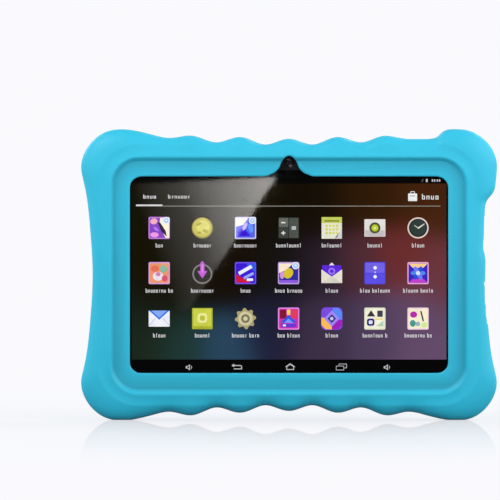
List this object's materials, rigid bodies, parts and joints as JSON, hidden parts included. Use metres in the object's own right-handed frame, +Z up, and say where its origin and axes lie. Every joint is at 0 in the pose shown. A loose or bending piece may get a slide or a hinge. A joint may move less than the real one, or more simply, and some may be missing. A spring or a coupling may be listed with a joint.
{
  "type": "kids tablet",
  "caption": "Small tablet computer in a scalloped silicone bumper case with a flip-out kickstand, side keys, charging port and headphone socket.",
  "frame": {"origin": "middle of the case's footprint, on the plane of the two flat lands it stands on", "axes": "+X to the right seen from the screen side, -Y out of the screen, +Z up along the short side of the screen"},
  "size_m": [0.2082, 0.0186, 0.1455],
  "materials": {
    "silicone": "matte",
    "kickstand_plastic": "satin",
    "steel": "satin",
    "glass": "polished",
    "adhesive": "matte",
    "frame_plastic": "satin",
    "display": "gloss",
    "backlight": "satin",
    "sheet_metal": "satin",
    "cover_grey": "satin",
    "board": "gloss",
    "chip": "matte",
    "tin_shield": "satin",
    "port_metal": "polished",
    "port_black": "satin",
    "switch_plunger": "gloss",
    "button_grey": "gloss",
    "camera_black": "satin",
    "lens_glass": "polished",
    "window_gloss": "gloss",
    "led": "gloss",
    "battery_foil": "satin",
    "lead_red": "satin",
    "lead_black": "satin",
    "flex": "satin"
  },
  "bodies": {
    "tablet_and_case": {"silicone_case": "silicone", "kickstand_frame": "kickstand_plastic", "kickstand_hinge_pin": "steel", "cover_glass": "glass", "glass_adhesive": "adhesive", "front_frame": "frame_plastic", "lcd_cell": "display", "backlight_unit": "backlight", "lcd_support_plate": "sheet_metal", "plate_screws": "steel", "rear_cover": "cover_grey", "main_board": "board", "board_screws": "steel", "processor_chip": "chip", "memory_chips": "chip", "rf_shield": "tin_shield", "wifi_module": "chip", "microphone": "tin_shield", "micro_usb_port": "port_metal", "headphone_jack": "port_black", "power_switch": "port_black", "volume_switches": "port_black", "front_camera_module": "camera_black", "front_camera_lens": "lens_glass", "rear_camera_module": "camera_black", "rear_camera_lens": "lens_glass", "rear_camera_window": "window_gloss", "flash_led": "led", "battery_cell": "battery_foil", "battery_lead_red": "lead_red", "battery_lead_black": "lead_black", "loudspeaker": "port_black", "speaker_lead_red": "lead_red", "speaker_lead_black": "lead_black", "wifi_antenna": "flex", "antenna_cable": "lead_black", "touch_flex_cable": "flex", "lcd_flex_cable": "flex"},
    "kickstand_leg": {"kickstand_leg": "kickstand_plastic"},
    "power_button": {"power_button": "button_grey", "power_switch_plunger": "switch_plunger"},
    "volume_rocker": {"volume_rocker": "button_grey"},
    "volume_up_plunger": {"volume_up_plunger": "switch_plunger"},
    "volume_down_plunger": {"volume_down_plunger": "switch_plunger"}
  },
  "joints": [
    {"name": "kickstand_hinge", "type": "hinge", "parent": "tablet_and_case", "child": "kickstand_leg", "pos_m": [0, 0.0077, 0.10405], "axis": [1, 0, 0], "range_deg": [0, 55]},
    {"name": "power_press", "type": "slide", "parent": "tablet_and_case", "child": "power_button", "axis": [0, 0, -1], "range_m": [0, 0.0003]},
    {"name": "volume_rock", "type": "hinge", "parent": "tablet_and_case", "child": "volume_rocker", "pos_m": [0.0886, 0, 0.09605], "axis": [0, 1, 0], "range_deg": [-3, 3]},
    {"name": "volume_up_press", "type": "slide", "parent": "tablet_and_case", "child": "volume_up_plunger", "axis": [-1, 0, 0], "range_m": [-0.00035, 0.00035]},
    {"name": "volume_down_press", "type": "slide", "parent": "tablet_and_case", "child": "volume_down_plunger", "axis": [-1, 0, 0], "range_m": [-0.00035, 0.00035]}
  ],
  "couplings": [
    {"joint": "volume_up_press", "follows": "volume_rock", "m_per_rad": -0.0065},
    {"joint": "volume_down_press", "follows": "volume_rock", "m_per_rad": 0.0065}
  ]
}
